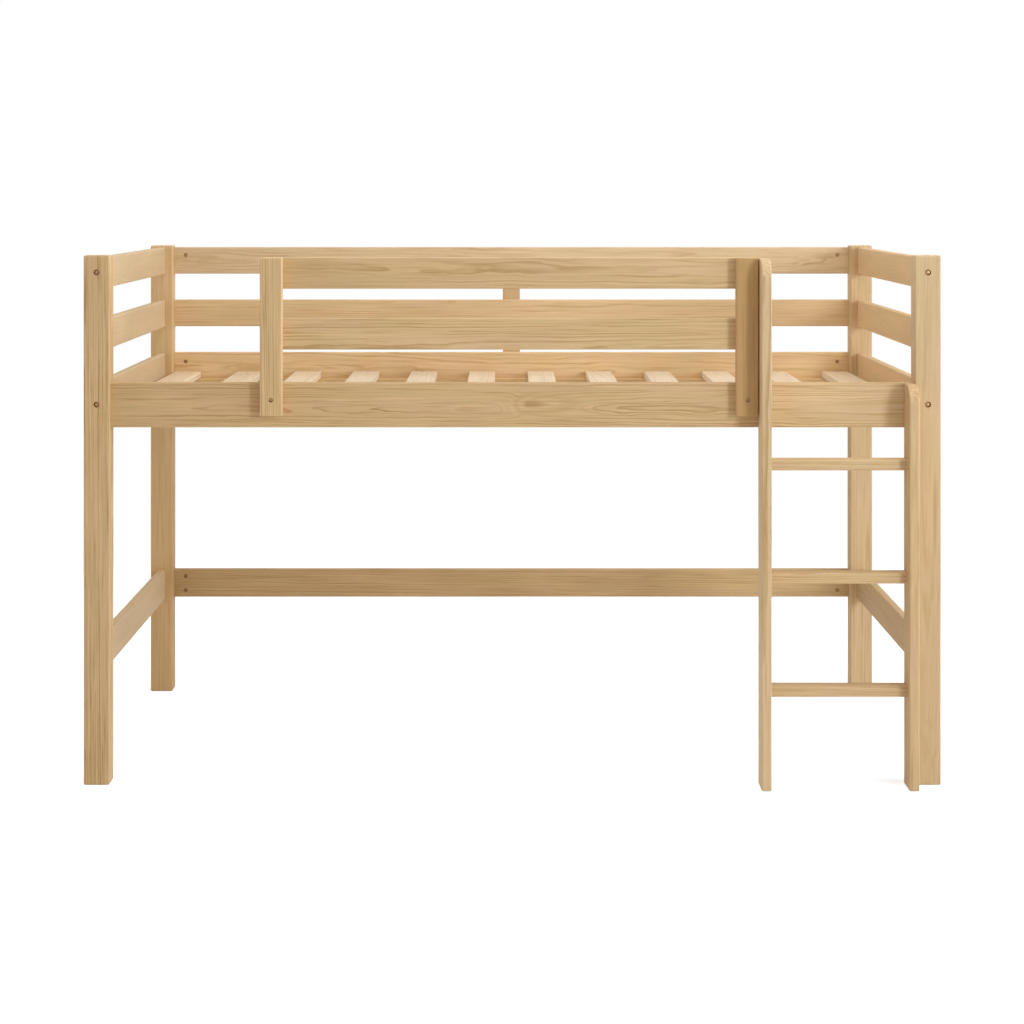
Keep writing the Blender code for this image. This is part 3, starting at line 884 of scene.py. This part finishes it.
def make_nut(bolt, hardware):
    """A barrel nut with a screwdriver slot across its outer end."""
    half = NUT_LENGTH / 2
    chamfer = hardware.nut_chamfer
    profile = (
        (0.0, half),
        (NUT_RADIUS - chamfer, half),
        (NUT_RADIUS, half - chamfer),
        (NUT_RADIUS, -half + chamfer),
        (NUT_RADIUS - chamfer, -half),
        (0.0, -half),
    )
    build = lathe_build(profile)
    nut = link("nut", finish_mesh(build, "nut"))
    slot = box_build(Vector((hardware.slot_width, 3 * NUT_RADIUS, 2 * SLOT_DEPTH)))
    slot.transform(Matrix.Translation((0, 0, half)))
    cut(nut, [finish_mesh(slot, "cutter")])
    mesh = nut.data
    mesh.transform(aimed(bolt.nut, bolt.nut_side))
    bpy.data.objects.remove(nut)
    return mesh


# ---- operators ----


class LOFTBED_OT_posts(bpy.types.Operator):
    """Make the four square posts"""

    bl_idname = "loft_bed.posts"
    bl_label = "Posts"

    # The last pair of each is painted light: lighter upwards, towards the lit top and away from the shade under the
    # deck. The rear left post's warmth and darker tone are partly painted shade as well.
    timbers = {
        "front_left": Timber(QUARTER_SAWN, -0.02, 0.12, 2.0, fade=(0.06, -0.03)),
        "front_right": Timber(FLAT_SAWN, -0.1, -0.15, 0.5, resin=(0.0145, 0.0155), fade=(0.05, -0.05)),
        "rear_left": Timber(RIFT_SAWN, -0.06, 0.33, 0.9, fade=(0.13, -0.5)),
        "rear_right": Timber(RIFT_SAWN, -0.11, -0.05),
    }

    def execute(self, context):
        wood = context.scene.loft_bed_wood
        for end, _ in ENDS:
            bolts = {
                "front": ("top_rail_front_{}", "deck_rail_front_{}", "front_bed_{}"),
                "rear": ("rear_top_{}", "rear_bed_{}", "rear_stretcher_{}_1", "rear_stretcher_{}_2"),
            }
            for side, names in bolts.items():
                post = f"{side}_{end}"
                holes = holes_for(*(f"bolt_{name.format(end)}" for name in names))
                make_board(f"square_post_{post}", f"post_{post}", "pine_pale", wood, self.timbers[post], holes=holes)
        return {"FINISHED"}


class LOFTBED_OT_end_rails(bpy.types.Operator):
    """Make the rails and the stretcher at both ends"""

    bl_idname = "loft_bed.end_rails"
    bl_label = "End Rails"

    timbers = {
        "left": Timber(FLAT_SAWN, -0.1, -0.2, 0.2),
        "right": Timber(FLAT_SAWN, 0.03, 0.16, 0.3),
        # The right stretcher's darker, warmer tone is partly painted shade under the deck.
        "stretcher_right": Timber(FLAT_SAWN, -0.22, 0.24, 0.3),
    }

    def execute(self, context):
        wood = context.scene.loft_bed_wood
        for end, _ in ENDS:
            for level in ("top_rail", "middle_rail", "deck_rail", "stretcher"):
                bolt = f"bolt_{level}_front_{end}"
                make_board(
                    f"end_{level}_board_{end}",
                    f"end_{level}_{end}",
                    "pine_pale",
                    wood,
                    self.timbers.get(f"{level}_{end}", self.timbers[end]),
                    pegs={"-Y": PEG_REACH, "+Y": PEG_REACH},
                    square=True,
                    holes=pockets_for(bolt) if bolt in BOLTS else (),
                )
        return {"FINISHED"}


class LOFTBED_OT_rear_rails(bpy.types.Operator):
    """Make the rails and the batten at the wall side"""

    bl_idname = "loft_bed.rear_rails"
    bl_label = "Rear Rails"

    # The last pair is painted light, lighter towards the right. The stretcher's darker, warmer tone is partly
    # painted shade under the deck.
    timbers = {
        "top": Timber(FLAT_SAWN, -0.01, -0.35, 0.7, fade=(0.02, 0.0)),
        "middle": Timber(RIFT_SAWN, 0.03, -0.1),
        "bed": Timber(FLAT_SAWN, 0.12, -0.07),
        "stretcher": Timber(RIFT_SAWN, -0.19, 0.32, 1.2, fade=(0.07, -0.2)),
        "batten": Timber(QUARTER_SAWN, -0.06, 0.03, 0.4),
    }

    def execute(self, context):
        wood = context.scene.loft_bed_wood
        for rail in ("top", "middle", "bed"):
            bolts = [f"bolt_rear_{rail}_{end}" for end, _ in ENDS if rail != "middle"]
            make_board(
                f"rear_{rail}_board",
                f"rear_{rail}_rail",
                "pine_warm",
                wood,
                self.timbers[rail],
                pegs={"-X": PEG_REACH, "+X": PEG_REACH},
                square=True,
                holes=pockets_for(*bolts),
            )
        bolts = [f"bolt_rear_stretcher_{end}_{number}" for end, _ in ENDS for number in (1, 2)]
        make_board(
            "rear_stretcher_board",
            "rear_stretcher",
            "pine_warm",
            wood,
            self.timbers["stretcher"],
            square=True,
            holes=pockets_for(*bolts),
        )
        make_board(
            "rear_batten",
            "rear_centre_batten",
            "pine_warm",
            wood,
            self.timbers["batten"],
            pegs={"-Y": SHORT_PEG_REACH},
        )
        return {"FINISHED"}


class LOFTBED_OT_front_rail(bpy.types.Operator):
    """Make the bed rail at the ladder side"""

    bl_idname = "loft_bed.front_rail"
    bl_label = "Front Bed Rail"

    # The last pair is painted light: lighter and cooler towards the ladder end, under the cooler light there.
    timber = Timber(FLAT_SAWN, 0.0, 0.08, 1.3, knot=(0.038, 0.002), fade=(0.01, -0.22))

    def execute(self, context):
        holes = pockets_for("bolt_front_bed_left", "bolt_front_bed_right")
        holes += holes_for("bolt_ladder_left", "bolt_ladder_right")
        make_board(
            "front_bed_board",
            "front_bed_rail",
            "pine_pale",
            context.scene.loft_bed_wood,
            self.timber,
            pegs={"-X": PEG_REACH, "+X": PEG_REACH},
            square=True,
            holes=holes,
        )
        return {"FINISHED"}


class LOFTBED_OT_deck(bpy.types.Operator):
    """Make the slats and the ledgers that carry them"""

    bl_idname = "loft_bed.deck"
    bl_label = "Slatted Deck"

    ledger_timber = Timber(QUARTER_SAWN, 0.0, 0.5)

    def execute(self, context):
        wood = context.scene.loft_bed_wood
        for side, face in (("front", "-Y"), ("rear", "+Y")):
            make_board(
                f"ledger_{side}",
                f"slat_ledger_{side}",
                "pine_warm",
                wood,
                self.ledger_timber,
                pegs={face: SHORT_PEG_REACH},
                square=True,
            )
        for node in sorted(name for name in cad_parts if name.startswith("slat_") and name[-1].isdigit()):
            draw = random.Random(node)
            sawn = draw.choice((FLAT_SAWN, RIFT_SAWN))
            # The slats' cream warmth is partly their own paler wood and partly a painted highlight for their lit
            # tops.
            make_board(
                node.replace("slat", "deck_slat"),
                node,
                "pine_slat",
                wood,
                Timber(sawn, draw.uniform(-0.03, 0.05), draw.uniform(-0.9, -0.65), 0.5),
                radius=wood.slat_edge_radius,
                square=True,
            )
        return {"FINISHED"}


class LOFTBED_OT_guard(bpy.types.Operator):
    """Make the guard's rails and uprights"""

    bl_idname = "loft_bed.guard"
    bl_label = "Guard"

    # The top rail's last pair is painted light, cooler towards the ladder end. The right upright's dark, warm tone
    # is partly painted shade from the ladder side beside it.
    timbers = {
        "top": Timber(FLAT_SAWN, 0.0, 0.03, fade=(0.02, -0.2)),
        "lower": Timber(RIFT_SAWN, 0.04, 0.0, 1.2),
        "left": Timber(RIFT_SAWN, 0.07, 0.0, 1.3),
        "right": Timber(QUARTER_SAWN, -0.18, 0.9, 0.8),
    }

    def execute(self, context):
        wood = context.scene.loft_bed_wood
        for rail in ("top", "lower"):
            make_board(f"guard_{rail}_board", f"guard_{rail}_rail", "pine_pale", wood, self.timbers[rail])
        for end, _ in ENDS:
            make_board(
                f"guard_post_{end}",
                f"guard_upright_{end}",
                "pine_pale",
                wood,
                self.timbers[end],
                pegs={"+Y": SHORT_PEG_REACH},
                holes=holes_for(f"bolt_guard_{end}"),
            )
        return {"FINISHED"}


class LOFTBED_OT_ladder(bpy.types.Operator):
    """Make the ladder's sides and rungs"""

    bl_idname = "loft_bed.ladder"
    bl_label = "Ladder"

    timbers = {
        "left": Timber(QUARTER_SAWN, -0.05, -0.2, 1.1),
        "right": Timber(QUARTER_SAWN, -0.12, 0.1, 1.6),
        "lower": Timber(RIFT_SAWN, -0.08, 0.0),
        "middle": Timber(RIFT_SAWN, 0.0, 0.0),
        "upper": Timber(RIFT_SAWN, -0.02, -0.1),
    }

    def execute(self, context):
        wood = context.scene.loft_bed_wood
        rungs = ("lower", "middle", "upper")
        for end, outward in ENDS:
            bores = [self.bore(f"ladder_rung_{rung}", outward) for rung in rungs]
            self.make_side(end, wood, bores + holes_for(f"bolt_ladder_{end}"))
        for rung in rungs:
            self.make_rung(rung, wood)
        return {"FINISHED"}

    def bore(self, node, outward):
        """The bore in a ladder side for the dowel of a rung."""
        low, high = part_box(node)
        face_x = high.x if outward.x > 0 else low.x
        middle = Vector((face_x, high.y - RUNG_DEPTH / 2, (low.z + high.z) / 2))
        inner = middle - outward * (STILE_THICKNESS + CUT_OVERRUN)
        return rod(inner, middle + outward * CUT_OVERRUN, RUNG_PEG_RADIUS + HOLE_PLAY)

    def make_side(self, end, wood, holes):
        """A ladder side with a round nose at its top front corner."""
        name = f"ladder_side_{end}"
        node = f"ladder_stile_{end}"
        low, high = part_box(node)
        build = box_build(high - low)
        cross = edges_along(build, 0, (high - low).x)
        nose = [edge for edge in cross if edge.verts[0].co.y < 0 < edge.verts[0].co.z]
        round_off(build, nose, wood.nose_radius, NOSE_SEGMENTS)
        round_off(build, sharp_edges(build), wood.edge_radius, EDGE_SEGMENTS)
        piece = link(name, finish_mesh(build, name))
        finish_board(piece, (low + high) / 2, holes, node, "pine_pale", wood, self.timbers[end])

    def make_rung(self, rung, wood):
        """A rung with its two dowels, which show at the outer faces of the ladder."""
        name = f"rung_{rung}"
        node = f"ladder_rung_{rung}"
        low, high = board_box(node, {"-X": RUNG_PEG_REACH, "+X": RUNG_PEG_REACH})
        half = (high.x - low.x) / 2
        build = box_build(high - low)
        round_off(build, edges_along(build, 0, high.x - low.x), wood.edge_radius, EDGE_SEGMENTS)
        for sign in (-1, 1):
            start = Vector((sign * (half - CUT_OVERRUN), 0, 0))
            end = Vector((sign * (half + RUNG_PEG_REACH), 0, 0))
            build.from_mesh(rod(start, end, RUNG_PEG_RADIUS))
        piece = link(name, finish_mesh(build, name))
        finish_board(piece, (low + high) / 2, (), node, "pine_pale", wood, self.timbers[rung], half)


class LOFTBED_OT_hardware(bpy.types.Operator):
    """Make the bolts and barrel nuts"""

    bl_idname = "loft_bed.hardware"
    bl_label = "Bolts and Nuts"

    def execute(self, context):
        for bolt in BOLTS.values():
            make_bolt(bolt, context.scene.loft_bed_hardware)
        return {"FINISHED"}


# ---- stage ----

# The camera stands level, straight before the middle of the bed.
CAMERA_PLACE = (-0.0117, -5.843, 1.3793)
CAMERA_LENS = 80.38
CAMERA_SHIFT = (0.00464, -0.3109)
SENSOR_WIDTH = 36.0

# The floor lies just under the feet. What is added to it for the camera alone turns it white but for the shadow,
# and it fades to plain white between two distances.
FLOOR_RADIUS = 40.0
FLOOR_SIDES = 96
FLOOR_DROP = 0.0005
FLOOR_ROUGHNESS = 0.9
FLOOR_FADE = (2.0, 3.4)
FLOOR_LIFT = 0.64
FLOOR_LIFT_COLOUR = (0.86, 0.93, 1.0)
WHITE = (1.0, 1.0, 1.0)

# The soft boxes: where each one stands, what it faces, and its size. The cool ones stand at the ladder end.
BED_MIDDLE = (0, 0, 0.8)
SOFT_BOXES = {
    "key": ((2.72, -3.85, 1.6), (0, -0.5, 0.8), (0.7, 1.6)),
    "right": ((4.3, -0.8, 2.3), BED_MIDDLE, (1.6, 1.6)),
    "left": ((-4.6, -0.6, 2.4), BED_MIDDLE, (2.5, 2.5)),
    "top": ((0.8, -1.1, 5.0), (0.8, -1.1, 0), (3.4, 1.6)),
    "back": ((0, 4.6, 2.0), BED_MIDDLE, (2.5, 1.6)),
}
COOL_BOXES = ("key", "right")


def make_floor(stage):
    build = bmesh.new()
    bmesh.ops.create_circle(build, cap_ends=True, segments=FLOOR_SIDES, radius=FLOOR_RADIUS)
    floor = link("studio_floor", finish_mesh(build, "studio_floor"))
    material, graph, shader, output = new_material("floor_white")
    graph.put(shader.inputs["Base Color"], rgba(stage.floor))
    shader.inputs["Roughness"].default_value = FLOOR_ROUGHNESS
    seen = graph.seen()
    place = graph.node("ShaderNodeTexCoord").outputs["Object"]
    far = graph.smooth_step(graph.vector("LENGTH", place), *FLOOR_FADE)
    white = graph.node("ShaderNodeEmission", {"Color": rgba(WHITE), "Strength": 1.0})
    strength = graph.math("MULTIPLY", seen, FLOOR_LIFT)
    lift = graph.node("ShaderNodeEmission", {"Color": rgba(FLOOR_LIFT_COLOUR), "Strength": strength})
    near = graph.node("ShaderNodeAddShader")
    graph.put(near.inputs[0], shader.outputs[0])
    graph.put(near.inputs[1], lift.outputs[0])
    blend = graph.node("ShaderNodeMixShader")
    graph.put(blend.inputs[0], graph.math("MULTIPLY", seen, far))
    graph.put(blend.inputs[1], near.outputs[0])
    graph.put(blend.inputs[2], white.outputs[0])
    graph.put(output.inputs["Surface"], blend.outputs[0])
    floor.data.materials.append(material)
    floor.location.z = -FLOOR_DROP


def make_world(stage):
    """Soft light from all round, which the camera sees as white."""
    world = bpy.data.worlds.new("studio")
    bpy.context.scene.world = world
    world.use_nodes = True
    world.node_tree.nodes.clear()
    graph = Graph(world.node_tree)
    seen = graph.seen()
    strength = graph.math("MULTIPLY_ADD", seen, 1.0 - stage.fill, stage.fill)
    colour = graph.mix_colours(seen, rgba(stage.fill_colour), rgba(WHITE))
    sky = graph.node("ShaderNodeBackground", {"Color": colour, "Strength": strength})
    graph.node("ShaderNodeOutputWorld", {"Surface": sky.outputs[0]})


def make_light(name, place, target, size, power, colour):
    data = bpy.data.lights.new(name, "AREA")
    data.shape = "RECTANGLE"
    data.size, data.size_y = size
    data.energy = power
    data.color = colour
    light = bpy.data.objects.new(name, data)
    light.visible_camera = False
    light.location = place
    light.rotation_euler = (Vector(target) - Vector(place)).to_track_quat("-Z", "Y").to_euler()
    bpy.context.scene.collection.objects.link(light)


def make_camera():
    data = bpy.data.cameras.new("photo_camera")
    data.sensor_width = SENSOR_WIDTH
    data.lens = CAMERA_LENS
    data.shift_x, data.shift_y = CAMERA_SHIFT
    camera = bpy.data.objects.new("photo_camera", data)
    camera.location = CAMERA_PLACE
    camera.rotation_euler = (math.radians(90), 0, 0)
    bpy.context.scene.collection.objects.link(camera)
    bpy.context.scene.camera = camera


class LOFTBED_OT_stage(bpy.types.Operator):
    """Make the floor, the studio light and the camera"""

    bl_idname = "loft_bed.stage"
    bl_label = "Stage"

    def execute(self, context):
        stage = context.scene.loft_bed_stage
        make_floor(stage)
        make_world(stage)
        for name, (place, target, size) in SOFT_BOXES.items():
            colour = stage.cool_colour if name in COOL_BOXES else stage.plain_colour
            make_light(f"{name}_box", place, target, size, getattr(stage, f"{name}_power"), colour)
        make_camera()
        context.scene.view_settings.view_transform = "Standard"
        return {"FINISHED"}


class LOFTBED_PT_panel(bpy.types.Panel):
    """Lists the settings and the steps"""

    bl_idname = "LOFTBED_PT_panel"
    bl_label = "Low Loft Bed"
    bl_space_type = "VIEW_3D"
    bl_region_type = "UI"
    bl_category = "Loft Bed"

    def draw(self, context):
        for group in GROUPS:
            settings = getattr(context.scene, group)
            for key in settings.bl_rna.properties.keys():
                if key not in {"rna_type", "name"}:
                    self.layout.prop(settings, key)
        for step in STEPS:
            self.layout.operator(step.bl_idname)


GROUPS = {
    "loft_bed_wood": LOFTBED_PG_wood,
    "loft_bed_hardware": LOFTBED_PG_hardware,
    "loft_bed_stage": LOFTBED_PG_stage,
}
STEPS = (
    LOFTBED_OT_posts,
    LOFTBED_OT_end_rails,
    LOFTBED_OT_rear_rails,
    LOFTBED_OT_front_rail,
    LOFTBED_OT_deck,
    LOFTBED_OT_guard,
    LOFTBED_OT_ladder,
    LOFTBED_OT_hardware,
    LOFTBED_OT_stage,
)


def register():
    for group, settings in GROUPS.items():
        bpy.utils.register_class(settings)
        setattr(bpy.types.Scene, group, PointerProperty(type=settings))
    for step in STEPS:
        bpy.utils.register_class(step)
    bpy.utils.register_class(LOFTBED_PT_panel)


def unregister():
    bpy.utils.unregister_class(LOFTBED_PT_panel)
    for step in reversed(STEPS):
        bpy.utils.unregister_class(step)
    for group, settings in GROUPS.items():
        delattr(bpy.types.Scene, group)
        bpy.utils.unregister_class(settings)


def main():
    register()
    for step in STEPS:
        package, name = step.bl_idname.split(".")
        getattr(getattr(bpy.ops, package), name)()


if __name__ == "__main__":
    main()
